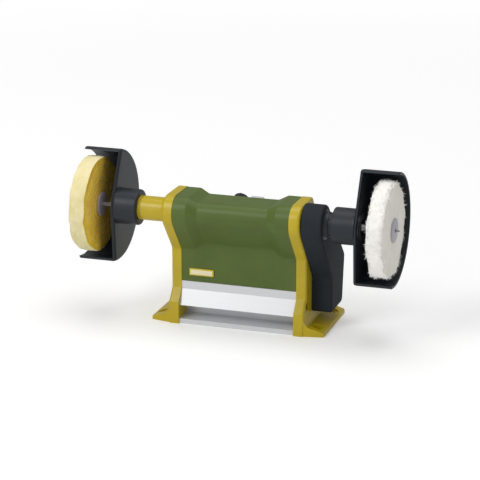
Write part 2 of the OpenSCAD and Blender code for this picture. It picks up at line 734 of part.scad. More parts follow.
module speed_knob() machine() color(slate) on_panel(knob_x, knob_down) {
    flutes = 24;
    r = knob_d / 2;
    wave = [for (i = [0:flutes * 2 - 1]) let (a = 180 * i / flutes)
        (i % 2 == 0 ? r : r - 0.5) * [cos(a), sin(a)]];
    difference() {
        union() {
            translate([0, 0, 1.5]) cylinder(r = r + 0.4, h = 1.2);
            translate([0, 0, 1.6]) linear_extrude(knob_h - 2.6) polygon(wave);
            translate([0, 0, knob_h - 1.2]) cylinder(r1 = r - 0.9, r2 = r - 1.8, h = 1.2);
        }
        translate([0, 0, 1]) cylinder(r = pot_shaft_r + seat, h = knob_h - 3.3);
        translate([0, 0, 1]) cylinder(r = 5.8, h = 1.4);
        translate([-0.5, -r - 1, knob_h - 0.5]) cube([1, r, 2]);
    }
}

rocker_w = switch_w - 4;
rocker_l = switch_l - 5;
rocker_axle_z = 0.6;
bezel_h = 3.2;
module switch_body() machine() color("#c3c6c6") on_panel(switch_x, switch_down) difference() {
    union() {
        translate([-switch_w / 2, -switch_l / 2, seat]) cube([switch_w, switch_l, bezel_h]);
        translate([-switch_w / 2 + 1.2, -switch_l / 2 + 1, -11]) cube([switch_w - 2.4, switch_l - 2, 11.1]);
    }
    translate([-rocker_w / 2 - 0.3, -rocker_l / 2 - 0.5, -7]) cube([rocker_w + 0.6, rocker_l + 1, 20]);
    translate([-rocker_w / 2 - 1.1, 0, rocker_axle_z]) rotate([0, 90, 0]) cylinder(r = 1 + fit, h = rocker_w + 2.2);
}

// Rocker with its upper end standing out, turning on a molded axle
rocker_swing = 16;
module switch_rocker() machine() color("#b9bcbc") on_panel(switch_x, switch_down)
    translate([0, 0, rocker_axle_z]) rotate([-rocker_swing / 2, 0, 0]) {
        translate([-rocker_w / 2, 0, 0]) rotate([90, 0, 90]) linear_extrude(rocker_w) polygon([
            [-rocker_l / 2 + 0.6, 0], [-2.6, -2.4], [2.6, -2.4], [rocker_l / 2 - 0.6, 0],
            [rocker_l / 2 - 0.6, 3.4], [0, 2.5], [-rocker_l / 2 + 0.6, 3.4]]);
        translate([-rocker_w / 2 - 0.9, 0, 0]) rotate([0, 90, 0]) cylinder(r = 1, h = rocker_w + 1.8);
    }

module cord_inlet_bush() machine() color("#1d1d1d") translate([cord_x, back_y - 0.5, cord_z])
    rotate([-90, 0, 0]) difference() {
        union() {
            translate([0, 0, -3]) cylinder(r = 6 - seat, h = 5);
            translate([0, 0, 0.2]) cylinder(r = 7.5, h = 3);
        }
        translate([0, 0, -4]) cylinder(r = 3.4, h = 10);
    }

base_profile();
left_end_frame();
right_end_frame();
housing_shell();
belt_cover();
right_neck();
left_bearing_outer_ring();
right_bearing_outer_ring();
left_bearing_inner_ring();
right_bearing_inner_ring();
spindle_shaft();
left_spindle_nose();
right_spindle_nose();
spindle_pulley();
spindle_circlips();
drive_belt();
left_muslin_buff();
right_cotton_buff();
left_buff_washers();
right_buff_washers();
left_guard();
right_guard();
left_guard_friction_ring();
right_guard_friction_ring();
left_guard_circlip();
right_guard_circlip();
motor_can();
motor_drive_plate();
motor_brush_plate();
motor_magnets();
motor_bushes();
motor_brushes();
motor_shaft();
motor_armature();
motor_commutator();
motor_fan();
motor_pulley();
motor_screws();
cover_screws();
left_frame_screws();
right_frame_screws();
control_board();
board_screws();
potentiometer();
potentiometer_shaft();
speed_knob();
switch_body();
switch_rocker();
cord_inlet_bush();
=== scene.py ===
"""Looks of the bench polishing lathe: a waisted green housing between mustard end frames on an
aluminium base profile, a slate belt cover and two swivelling guards round a muslin and a cotton buff."""
import bpy
import bmesh
import math
from mathutils import Vector, Matrix, noise


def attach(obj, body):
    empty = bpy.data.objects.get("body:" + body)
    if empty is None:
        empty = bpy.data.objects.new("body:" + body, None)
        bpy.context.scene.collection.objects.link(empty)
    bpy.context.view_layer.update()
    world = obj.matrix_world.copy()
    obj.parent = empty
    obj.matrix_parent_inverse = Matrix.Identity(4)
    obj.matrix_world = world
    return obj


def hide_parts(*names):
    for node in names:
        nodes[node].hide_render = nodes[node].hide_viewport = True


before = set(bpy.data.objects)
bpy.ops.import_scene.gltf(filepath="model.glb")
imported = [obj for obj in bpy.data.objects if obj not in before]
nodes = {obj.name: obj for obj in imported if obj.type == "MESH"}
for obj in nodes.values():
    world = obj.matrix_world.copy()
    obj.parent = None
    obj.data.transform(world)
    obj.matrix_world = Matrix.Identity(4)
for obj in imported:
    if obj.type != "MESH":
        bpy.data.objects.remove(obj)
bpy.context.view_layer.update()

MM = 0.001
AXIS = Vector((0.0, -0.0405, 0.123))  # a point on the spindle axis, which runs along X

# Both buffs: the face nearer to the machine, and the width, in millimetres
BUFF_INNER_X, BUFF_WIDTH = 149.8, 16.6
BUFF_MIDDLE_X = BUFF_INNER_X + BUFF_WIDTH / 2
ARBOR_RADIUS = 2.4

# Rings of stitches in the muslin buff, in millimetres
FIRST_ROW, ROW_GAP, ROWS = 16.0, 6.2, 5
STITCH_ROWS = [FIRST_ROW + ROW_GAP * k for k in range(ROWS)]
STITCH_DEPTH = 0.35


# Camera at the photograph's angle

PHOTO_WIDTH = 480
FOCAL_PIXELS = 1990.13
CAMERA_DISTANCE = 2.0579
SENSOR = 36


def place_camera():
    azimuth, elevation = math.radians(18.161), math.radians(17.016)
    target = Vector((3.906, -40.5, 97.56)) * MM
    back = Vector((math.sin(azimuth) * math.cos(elevation), -math.cos(azimuth) * math.cos(elevation),
                   math.sin(elevation)))
    data = bpy.data.cameras.new("camera")
    data.sensor_width = SENSOR
    data.lens = FOCAL_PIXELS / PHOTO_WIDTH * SENSOR
    data.clip_end = 20
    camera = bpy.data.objects.new("camera", data)
    bpy.context.collection.objects.link(camera)
    camera.location = target + back * CAMERA_DISTANCE
    camera.rotation_euler = back.to_track_quat("Z", "Y").to_euler()
    bpy.context.scene.camera = camera


# Materials. Each helper adds one idea to a node tree.

class Finish:
    """A procedural material whose patterns read Object coordinates in millimetres."""

    def __init__(self, name, colour, rough, metal=0.0):
        self.material = bpy.data.materials.new(name)
        self.material.use_nodes = True
        self.tree = self.material.node_tree
        self.shader = self.tree.nodes["Principled BSDF"]
        self.shader.inputs["Base Color"].default_value = (*colour, 1)
        self.shader.inputs["Roughness"].default_value = rough
        self.shader.inputs["Metallic"].default_value = metal
        coords = self.node("ShaderNodeTexCoord")
        self.mapping = self.node("ShaderNodeMapping")
        self.mapping.inputs["Scale"].default_value = (1000, 1000, 1000)
        self.link(coords.outputs["Object"], self.mapping.inputs["Vector"])
        self.normal = None

    def node(self, kind, **values):
        made = self.tree.nodes.new(kind)
        for key, value in values.items():
            setattr(made, key, value)
        return made

    def link(self, a, b):
        self.tree.links.new(a, b)

    def stretched(self, scale, turn=(0, 0, 0), shift=(0, 0, 0)):
        """Object coordinates in millimetres, stretched for grain."""
        made = self.node("ShaderNodeMapping")
        made.inputs["Scale"].default_value = scale
        made.inputs["Rotation"].default_value = turn
        made.inputs["Location"].default_value = shift
        self.link(self.mapping.outputs["Vector"], made.inputs["Vector"])
        return made.outputs["Vector"]

    def noise(self, scale, detail=3.0, rough=0.55, vector=None):
        made = self.node("ShaderNodeTexNoise")
        made.inputs["Scale"].default_value = scale
        made.inputs["Detail"].default_value = detail
        made.inputs["Roughness"].default_value = rough
        self.link(vector or self.mapping.outputs["Vector"], made.inputs["Vector"])
        return made.outputs["Fac"]

    def spread(self, value, low, high, to_low=0.0, to_high=1.0):
        made = self.node("ShaderNodeMapRange")
        made.inputs["From Min"].default_value = low
        made.inputs["From Max"].default_value = high
        made.inputs["To Min"].default_value = to_low
        made.inputs["To Max"].default_value = to_high
        self.link(value, made.inputs["Value"])
        return made.outputs["Result"]

    def mixed(self, factor, a, b):
        made = self.node("ShaderNodeMix", data_type="RGBA")
        self.link(factor, made.inputs["Factor"])
        for socket, value in ((made.inputs["A"], a), (made.inputs["B"], b)):
            if isinstance(value, tuple):
                socket.default_value = (*value, 1)
            else:
                self.link(value, socket)
        return made.outputs["Result"]

    def tint(self, factor, a, b):
        self.link(self.mixed(factor, a, b), self.shader.inputs["Base Color"])
        return self

    def roughness(self, value):
        self.link(value, self.shader.inputs["Roughness"])
        return self

    def bump(self, height, strength, distance):
        """Adds a bump of the given depth in millimetres."""
        made = self.node("ShaderNodeBump")
        made.inputs["Strength"].default_value = strength
        made.inputs["Distance"].default_value = distance * MM
        self.link(height, made.inputs["Height"])
        if self.normal:
            self.link(self.normal, made.inputs["Normal"])
        self.normal = made.outputs["Normal"]
        self.link(self.normal, self.shader.inputs["Normal"])
        return self


def shade(colour, by):
    return tuple(min(1.0, c * by) for c in colour)


def linear(r, g, b):
    """A colour read from the photograph in 0 to 255, as linear light."""
    return tuple(c / 255 / 12.92 if c / 255 <= 0.04045 else ((c / 255 + 0.055) / 1.055) ** 2.4
                 for c in (r, g, b))


def powder_coat():
    colour = linear(189, 166, 10)
    f = Finish("mustard_powder_coat", colour, 0.34)
    f.tint(f.spread(f.noise(0.035), 0.3, 0.7), shade(colour, 0.93), shade(colour, 1.05))
    f.roughness(f.spread(f.noise(0.5), 0.3, 0.7, 0.3, 0.4))
    f.bump(f.noise(1.3, 2.0), 0.3, 0.04)
    f.bump(f.noise(0.12), 0.2, 0.15)
    return f.material


def moulded(name, colour, rough, grain, gloss=0.32):
    """Injection moulded plastic with a fine spark-eroded grain."""
    f = Finish(name, colour, rough)
    f.shader.inputs["Specular IOR Level"].default_value = gloss
    f.tint(f.spread(f.noise(0.03), 0.3, 0.7), shade(colour, 0.92), shade(colour, 1.08))
    f.roughness(f.spread(f.noise(0.8, 4.0), 0.3, 0.7, rough - 0.06, rough + 0.08))
    f.bump(f.noise(2.2, 2.0), 0.3, grain)
    f.bump(f.noise(0.08), 0.15, 0.2)
    return f.material


def anodised():
    """Extruded aluminium: fine draw lines along X under a satin anodised skin."""
    colour = linear(219, 220, 223)
    f = Finish("anodised_aluminium", colour, 0.42, 0.25)
    lines = f.noise(1.0, 5.0, 0.6, f.stretched((0.012, 2.6, 2.6)))
    f.tint(f.spread(lines, 0.3, 0.7), shade(colour, 0.95), shade(colour, 1.02))
    f.roughness(f.spread(lines, 0.3, 0.7, 0.34, 0.42))
    f.bump(lines, 0.12, 0.02)
    return f.material


def metal(name, colour, rough, turned=True):
    """Turned or ground metal with tool marks round the spindle."""
    f = Finish(name, colour, rough, 1.0)
    marks = f.noise(1.0, 4.0, 0.6, f.stretched((7.0, 0.25, 0.25) if turned else (0.6, 0.6, 0.6)))
    f.tint(f.spread(marks, 0.3, 0.7), shade(colour, 0.86), shade(colour, 1.1))
    f.roughness(f.spread(marks, 0.3, 0.7, max(rough - 0.08, 0.08), rough + 0.1))
    f.bump(marks, 0.25, 0.03)
    return f.material


def rubber():
    colour = linear(34, 34, 35)
    f = Finish("black_rubber", colour, 0.75)
    f.tint(f.spread(f.noise(0.3), 0.3, 0.7), shade(colour, 0.8), shade(colour, 1.25))
    f.bump(f.noise(1.6), 0.4, 0.06)
    return f.material


def cloth(name, colour, pale, weave, sheen, depth=0.5):
    """Woven cloth whose threads cross in a fine over and under pattern, with painted shade darkening the gaps
    between the threads.
    """
    f = Finish(name, colour, 0.92)
    f.shader.inputs["Sheen Weight"].default_value = sheen
    f.shader.inputs["Sheen Roughness"].default_value = 0.5
    threads = []
    for direction in ("Y", "Z"):
        wave = f.node("ShaderNodeTexWave", wave_type="BANDS", bands_direction=direction)
        wave.inputs["Scale"].default_value = weave
        wave.inputs["Distortion"].default_value = 1.4
        wave.inputs["Detail"].default_value = 2.0
        wave.inputs["Detail Scale"].default_value = 0.6
        f.link(f.mapping.outputs["Vector"], wave.inputs["Vector"])
        threads.append(wave.outputs["Fac"])
    crossing = f.node("ShaderNodeMath", operation="MAXIMUM")
    f.link(threads[0], crossing.inputs[0])
    f.link(threads[1], crossing.inputs[1])
    blotch = f.spread(f.noise(0.07, 5.0, 0.65), 0.36, 0.62)
    base = f.mixed(blotch, colour, pale)
    # Painted shade: the colour is darkened where the threads dip, in the gaps of the weave.
    weave_gap_shade = f.node("ShaderNodeMix", data_type="RGBA", blend_type="MULTIPLY")
    f.link(f.spread(crossing.outputs[0], 0.2, 0.9, depth, 0.0), weave_gap_shade.inputs["Factor"])
    f.link(base, weave_gap_shade.inputs["A"])
    weave_gap_shade.inputs["B"].default_value = (0.72, 0.70, 0.66, 1)
    f.link(weave_gap_shade.outputs["Result"], f.shader.inputs["Base Color"])
    f.bump(crossing.outputs[0], 0.7 * depth, 0.1)
    f.bump(f.noise(0.5, 4.0), 0.6 * depth, 0.25)
    return f.material


def sewn_face():
    """Golden muslin with painted shade: darker towards the arbor and in the furrows along the sewn rows."""
    f = Finish("muslin_face", linear(206, 168, 18), 0.92)
    f.shader.inputs["Sheen Weight"].default_value = 0.05
    centred = f.stretched((0, 1, 1), (0, 0, 0), (0, -AXIS.y / MM, -AXIS.z / MM))
    reach = f.node("ShaderNodeVectorMath", operation="LENGTH")
    f.link(centred, reach.inputs[0])
    radius = reach.outputs["Value"]
    blotch = f.spread(f.noise(0.09, 5.0, 0.65), 0.36, 0.62)
    cloth_tone = f.mixed(blotch, linear(230, 184, 18), linear(250, 214, 60))
    # Painted shade: darker brown towards the arbor, fading out by 40 mm.
    arbor_shade = f.node("ShaderNodeMix", data_type="RGBA", blend_type="MULTIPLY")
    f.link(f.spread(radius, 14.0, 40.0, 0.5, 0.0), arbor_shade.inputs["Factor"])
    f.link(cloth_tone, arbor_shade.inputs["A"])
    arbor_shade.inputs["B"].default_value = (0.62, 0.52, 0.42, 1)
    turns = f.node("ShaderNodeMath", operation="MULTIPLY_ADD")
    f.link(radius, turns.inputs[0])
    turns.inputs[1].default_value = 1 / ROW_GAP
    turns.inputs[2].default_value = -FIRST_ROW / ROW_GAP
    rows = f.node("ShaderNodeMath", operation="PINGPONG")
    f.link(turns.outputs[0], rows.inputs[0])
    rows.inputs[1].default_value = 0.5
    # Painted shade: darker along the sewn rows, where the cloth sinks into furrows.
    furrow_shade = f.node("ShaderNodeMix", data_type="RGBA", blend_type="MULTIPLY")
    f.link(f.spread(rows.outputs[0], 0.0, 0.22, 0.3, 0.0), furrow_shade.inputs["Factor"])
    f.link(arbor_shade.outputs["Result"], furrow_shade.inputs["A"])
    furrow_shade.inputs["B"].default_value = (0.6, 0.5, 0.34, 1)
    f.link(furrow_shade.outputs["Result"], f.shader.inputs["Base Color"])
    f.bump(f.noise(0.5, 4.0), 0.3, 0.3)
    f.bump(f.noise(1.8, 2.0), 0.25, 0.12)
    return f.material


def fluff(name, colour):
    """Loose cotton fibre: pale, soft and slightly shaded in the depth."""
    f = Finish(name, colour, 0.95)
    f.shader.inputs["Sheen Weight"].default_value = 0.4
    f.shader.inputs["Sheen Roughness"].default_value = 0.6
    f.tint(f.spread(f.noise(0.12, 4.0, 0.6), 0.3, 0.7), shade(colour, 0.94), shade(colour, 1.03))
    f.bump(f.noise(0.8, 4.0, 0.6), 0.3, 0.3)
    return f.material


FINISH = {
    "mustard": powder_coat(),
    "green": moulded("green_moulding", linear(82, 100, 38), 0.42, 0.03, 0.36),
    "slate": moulded("slate_moulding", linear(32, 38, 45), 0.42, 0.03, 0.34),
    "slate_cover": moulded("slate_cover_moulding", linear(44, 49, 54), 0.62, 0.03, 0.07),
    "knob": moulded("knob_moulding", linear(34, 36, 38), 0.5, 0.03),
    "grey": moulded("switch_moulding", linear(196, 198, 199), 0.34, 0.02),
    "aluminium": anodised(),
    "steel": metal("turned_steel", linear(190, 191, 194), 0.32),
    "nose_steel": metal("threaded_nose_steel", linear(142, 143, 146), 0.34),
    "dark_steel": metal("blackened_steel", linear(92, 94, 97), 0.42),
    "copper": metal("commutator_copper", linear(196, 132, 88), 0.3),
    "bronze": metal("sintered_bronze", linear(176, 142, 84), 0.4, False),
    "magnet": moulded("sintered_magnet", linear(74, 74, 76), 0.6, 0.05),
    "iron": metal("armature_iron", linear(120, 116, 110), 0.45, False),
    "carbon": moulded("pressed_carbon", linear(38, 38, 39), 0.65, 0.06),
    "board": moulded("green_laminate", linear(50, 96, 62), 0.3, 0.02),
    "fibre": moulded("washer_fibre", linear(166, 157, 168), 0.5, 0.07),
    "fibre_pale": moulded("washer_fibre_pale", linear(178, 175, 182), 0.5, 0.07),
    "rubber": rubber(),
    "muslin_face": sewn_face(),
    "muslin_rim": cloth("muslin_rim", linear(238, 224, 164), linear(244, 233, 184), 1.6, 0.2, 0.15),
    "cotton": fluff("cotton_fibre", linear(251, 249, 244)),
    "cotton_face": cloth("cotton_face", linear(232, 227, 216), linear(240, 236, 227), 1.2, 0.3, 0.1),
    "thread": cloth("sewing_thread", linear(242, 216, 136), linear(248, 228, 164), 2.6, 0.2),
    "plate": moulded("bare_plate", linear(214, 190, 52), 0.3, 0.01),
    "plate_inlay": moulded("bare_plate_inlay", linear(233, 226, 190), 0.34, 0.01),
    "pointer": moulded("white_pointer", linear(236, 236, 232), 0.45, 0.01),
}

NODE_FINISH = {
    "base_profile": "aluminium", "left_end_frame": "mustard", "right_end_frame": "mustard",
    "housing_shell": "green", "belt_cover": "slate_cover", "right_neck": "slate",
    "left_guard": "slate", "right_guard": "slate", "speed_knob": "knob",
    "switch_body": "grey", "switch_rocker": "grey", "cord_inlet_bush": "rubber",
    "left_buff_washers": "fibre", "right_buff_washers": "fibre_pale",
    "drive_belt": "rubber", "left_guard_friction_ring": "rubber", "right_guard_friction_ring": "rubber",
    "motor_can": "dark_steel", "motor_magnets": "magnet", "motor_bushes": "bronze",
    "motor_brushes": "carbon", "motor_brush_plate": "carbon", "motor_fan": "carbon",
    "motor_armature": "iron", "motor_commutator": "copper", "control_board": "board",
    "left_guard_circlip": "dark_steel", "right_guard_circlip": "dark_steel",
    "spindle_circlips": "dark_steel", "motor_screws": "dark_steel", "cover_screws": "dark_steel",
    "left_frame_screws": "dark_steel", "right_frame_screws": "dark_steel",
}


# Mesh helpers

def new_piece(name, mesh, material=None):
    piece = bpy.data.objects.new(name, mesh)
    bpy.context.collection.objects.link(piece)
    if material:
        mesh.materials.clear()
        mesh.materials.append(material)
    return piece


def finished(work, name):
    """Turns a bmesh into a mesh datablock and frees it."""
    mesh = bpy.data.meshes.new(name)
    work.to_mesh(mesh)
    work.free()
    return mesh


def around_axis(x, radius, angle):
    """A point at a radius and an angle about the spindle axis, from millimetres."""
    return x * MM, AXIS.y + radius * MM * math.cos(angle), AXIS.z + radius * MM * math.sin(angle)


def unit_circle(angle):
    return Vector((math.cos(angle), math.sin(angle), 0))


def buff_piece(name, work, rings, face_finish, rim_finish, node):
    """Closes rings of points, each a kind and its points, into the body of a buff."""
    for (kind_a, a), (kind_b, b) in zip(rings, rings[1:] + rings[:1]):
        for k in range(len(a)):
            j = (k + 1) % len(a)
            face = work.faces.new((a[k], a[j], b[j], b[k]))
            face.smooth = True
            face.material_index = 1 if "rim" in (kind_a, kind_b) else 0
    bmesh.ops.recalc_face_normals(work, faces=work.faces)
    piece = new_piece(name, finished(work, name))
    piece.data.materials.append(FINISH[face_finish])
    piece.data.materials.append(FINISH[rim_finish])
    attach(piece, "spindle")
    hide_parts(node)
    return piece


def evaluated_mesh(piece):
    """A plain mesh of the piece with its modifiers applied."""
    return bpy.data.meshes.new_from_object(piece.evaluated_get(bpy.context.evaluated_depsgraph_get()))


def apply_modifiers(piece):
    mesh = evaluated_mesh(piece)
    piece.modifiers.clear()
    piece.data = mesh


def smooth_by_angle(mesh, degrees):
    """Smooth shading with sharp edges where faces meet at more than the angle."""
    work = bmesh.new()
    work.from_mesh(mesh)
    limit = math.radians(degrees)
    for face in work.faces:
        face.smooth = True
    for edge in work.edges:
        edge.smooth = len(edge.link_faces) == 2 and edge.calc_face_angle(0.0) < limit
    work.to_mesh(mesh)
    work.free()


def dressed(node, body, finish, degrees, break_edge):
    """A CAD node's own shape with soft shading over its facets, and its sharp edges broken."""
    mesh = nodes[node].data.copy()
    mesh.name = node + "_surface"
    work = bmesh.new()
    work.from_mesh(mesh)
    bmesh.ops.remove_doubles(work, verts=work.verts, dist=2e-6)
    work.to_mesh(mesh)
    work.free()
    piece = new_piece(node + "_surface", mesh, FINISH[finish])
    smooth_by_angle(mesh, degrees)
    if break_edge:
        bevel = piece.modifiers.new("broken_edge", "BEVEL")
        bevel.width = break_edge * MM
        bevel.segments = 2
        bevel.limit_method = "ANGLE"
        bevel.angle_limit = math.radians(40)
        bevel.harden_normals = True
        bevel.use_clamp_overlap = True
    weighted = piece.modifiers.new("weighted_normals", "WEIGHTED_NORMAL")
    weighted.keep_sharp = True
    apply_modifiers(piece)
    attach(piece, body)
    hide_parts(node)


# Rigid pieces that keep the CAD's shape: node, body, finish, smoothing angle, broken edge in millimetres
SHELL_PIECES = (
    ("left_end_frame", "machine", "mustard", 34, 0.0),
    ("right_end_frame", "machine", "mustard", 34, 0.0),
    ("housing_shell", "machine", "green", 30, 0.0),
    ("belt_cover", "machine", "slate_cover", 34, 0.0),
    ("right_neck", "machine", "slate", 34, 0.0),
    ("left_guard", "left_guard", "slate", 36, 0.0),
    ("right_guard", "right_guard", "slate", 36, 0.0),
    ("base_profile", "machine", "aluminium", 25, 0.0),
    ("left_buff_washers", "spindle", "fibre", 30, 0.2),
    ("right_buff_washers", "spindle", "fibre_pale", 30, 0.2),
)
CONTROL_PIECES = (
    ("speed_knob", "speed_knob", "knob", 28, 0.0),
    ("switch_body", "machine", "grey", 30, 0.35),
    ("switch_rocker", "switch_rocker", "grey", 30, 0.3),
    ("cord_inlet_bush", "machine", "rubber", 30, 0.3),
)


def finish_cad_nodes():
    for name, piece in nodes.items():
        finish = FINISH[NODE_FINISH.get(name, "steel")]
        if not piece.material_slots:
            piece.data.materials.append(finish)
        for slot in piece.material_slots:
            slot.material = finish


def box_piece(name, low, high, edge, material, place=Matrix.Identity(4)):
    """A block between two corners in millimetres with rounded edges, in its own frame."""
    work = bmesh.new()
    corners = [work.verts.new(place @ (Vector((x, y, z)) * MM))
               for x in (low[0], high[0]) for y in (low[1], high[1]) for z in (low[2], high[2])]
    for face in ((0, 1, 3, 2), (4, 6, 7, 5), (0, 4, 5, 1), (2, 3, 7, 6), (0, 2, 6, 4), (1, 5, 7, 3)):
        work.faces.new([corners[i] for i in face])
    bmesh.ops.recalc_face_normals(work, faces=work.faces)
    bmesh.ops.bevel(work, geom=list(work.edges), offset=edge * MM, segments=3, profile=0.5, affect="EDGES")
    mesh = finished(work, name)
    smooth_by_angle(mesh, 40)
    return new_piece(name, mesh, material)


# Frame of the controls: X along the machine, Y down the slope, Z out of the panel
DOWN = Vector((0, 51, -75)).normalized()
OUT = Vector((0, 75, 51)).normalized()
RIDGE = Vector((0, -13.5, 137.0))  # top edge of the slope, in millimetres
KNOB_X, KNOB_DOWN = -8, 14


def panel_place(x, down):
    spot = (RIDGE + DOWN * down) * MM
    return Matrix(((1, 0, 0, x * MM), (0, DOWN.y, OUT.y, spot.y), (0, DOWN.z, OUT.z, spot.z), (0, 0, 0, 1)))


def blank_plate():
    """The bare two-tone plate on the front wall of the housing."""
    plate = box_piece("bare_plate", (-54.3, -34.2, 51.7), (-27.5, -32.3, 59.3), 0.5, FINISH["plate"])
    inlay = box_piece("bare_plate_inlay", (-52.9, -34.45, 53.0), (-28.9, -33.0, 58.0), 0.3,
                      FINISH["plate_inlay"])
    for piece in (plate, inlay):
        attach(piece, "machine")


def controls():
    for row in CONTROL_PIECES:
        dressed(*row)
    pointer = box_piece("knob_pointer", (-0.45, -7.2, 9.0), (0.45, -1.4, 10.12), 0.12, FINISH["pointer"],
                        panel_place(KNOB_X, KNOB_DOWN))
    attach(pointer, "speed_knob")


# Outline of a spindle nose: X and radius in millimetres, then the range and cut of its thread
NOSE_OUTLINE = ((114.8, 2.98), (128.8, 2.98), (128.81, 5.2), (131.3, 5.2), (131.8, 4.25), (134.5, 4.25),
                (138.0, 3.06), (142.0, 2.6), (146.8, 2.25), (171.8, 0.85), (173.0, 0.35))
THREAD_FROM, THREAD_TO, THREAD_RUN_OUT = 137.0, 172.6, 3.0
THREAD_PITCH, THREAD_DEPTH, THREAD_FLANK = 1.5, 0.3, 1.4
THREAD_FULL_RADIUS = 2.2
NOSE_STEPS, NOSE_TURNED_TO, NOSE_STEP_X = 36, 134.5, 0.18


def nose_radius(x):
    for (x0, r0), (x1, r1) in zip(NOSE_OUTLINE, NOSE_OUTLINE[1:]):
        if x <= x1:
            return r0 + (r1 - r0) * (x - x0) / max(x1 - x0, 1e-6)
    return NOSE_OUTLINE[-1][1]


def threaded_nose(side):
    """The slender taper with its coarse thread, left-handed on the left nose."""
    turned = [x for x, _ in NOSE_OUTLINE[:6]]
    tip = NOSE_OUTLINE[-1][0]
    threaded = [NOSE_TURNED_TO + NOSE_STEP_X * k for k in range(1, 214)]
    work = bmesh.new()
    rings = []
    for x in turned + threaded + [tip]:
        run_in = min(1.0, max(0.0, (x - THREAD_FROM) / THREAD_RUN_OUT))
        run_out = min(1.0, max(0.0, (THREAD_TO - x) / THREAD_RUN_OUT))
        slim = min(1.0, nose_radius(x) / THREAD_FULL_RADIUS)
        ring = []
        for k in range(NOSE_STEPS):
            turn = k / NOSE_STEPS
            wave = abs(((x / THREAD_PITCH + side * turn) % 1.0) * 2 - 1)
            size = nose_radius(x) - THREAD_DEPTH * run_in * run_out * (1 - wave ** THREAD_FLANK) * slim
            ring.append(work.verts.new(around_axis(side * x, size, 2 * math.pi * turn)))
        rings.append(ring)
    for a, b in zip(rings, rings[1:]):
        for k in range(NOSE_STEPS):
            j = (k + 1) % NOSE_STEPS
            work.faces.new((a[k], a[j], b[j], b[k]))
    work.faces.new(rings[0])
    work.faces.new(rings[-1])
    bmesh.ops.recalc_face_normals(work, faces=work.faces)
    hand = "left" if side < 0 else "right"
    mesh = finished(work, hand + "_threaded_nose")
    smooth_by_angle(mesh, 50)
    piece = new_piece(hand + "_threaded_nose", mesh, FINISH["nose_steel"])
    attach(piece, "spindle")
    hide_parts(hand + "_spindle_nose")


# Muslin buff

MUSLIN_RADIUS, MUSLIN_STEPS, MUSLIN_LAYERS = 50.0, 300, 19


def muslin_swing(around, across, r):
    """How far the cloth of the muslin buff sways along X, in millimetres."""
    slow = noise.noise(around * 1.6 + Vector((3, 1, across * 0.5))) * 1.1
    quick = noise.noise(around * 4.5 + Vector((1, 6, across * 0.7))) * 1.2
    return (slow + quick) * max(0.0, (r - 25) / 25)


def muslin_puff(r):
    """How deep the face lies at a radius: sunk along the rows of stitches, puffed between them."""
    if r < FIRST_ROW - 4:
        return 0.0
    near = min(abs(r - row) for row in STITCH_ROWS)
    return 0.62 * math.exp(-(near / 0.75) ** 2) - 0.12 * math.cos(near / (ROW_GAP / 2) * math.pi)


def muslin_rim(around, across):
    """The radius of the rim, where every layer of cloth has its own edge."""
    edge = 0.9 * (abs(across * 2 - 1) ** 4)
    layer = round(across * MUSLIN_LAYERS)
    ragged = noise.noise(around * 9 + Vector((0, 0, layer * 3.7))) * 0.55
    ridge = 0.22 * math.cos(across * MUSLIN_LAYERS * 2 * math.pi)
    return MUSLIN_RADIUS - edge + ragged + ridge + noise.noise(around * 3) * 0.4


def muslin_buff():
    """Layers of muslin sewn in rings: puffed between the rows and slightly wavy at the rim."""
    radii = [ARBOR_RADIUS] + [12 + 0.62 * k for k in range(61)]
    rim_steps = MUSLIN_LAYERS * 2
    profile = [("face", r, 0.0) for r in radii]
    profile += [("rim", MUSLIN_RADIUS, k / rim_steps) for k in range(rim_steps + 1)]
    profile += [("face", r, 1.0) for r in reversed(radii)]
    work = bmesh.new()
    rings = []
    for kind, r, across in profile:
        ring = []
        for k in range(MUSLIN_STEPS):
            angle = 2 * math.pi * k / MUSLIN_STEPS
            around = unit_circle(angle)
            if kind == "rim":
                size = muslin_rim(around, across)
                depth = across * BUFF_WIDTH
            else:
                size = r
                sink = muslin_puff(r) + 0.16 * noise.noise(around * r * 0.35 + Vector((0, 0, across * 9)))
                depth = sink if across == 0 else BUFF_WIDTH - sink
            x = -BUFF_INNER_X - depth + muslin_swing(around, across, r)
            ring.append(work.verts.new(around_axis(x, size, angle)))
        rings.append((kind, ring))
    buff_piece("muslin_buff", work, rings, "muslin_face", "muslin_rim", "left_muslin_buff")


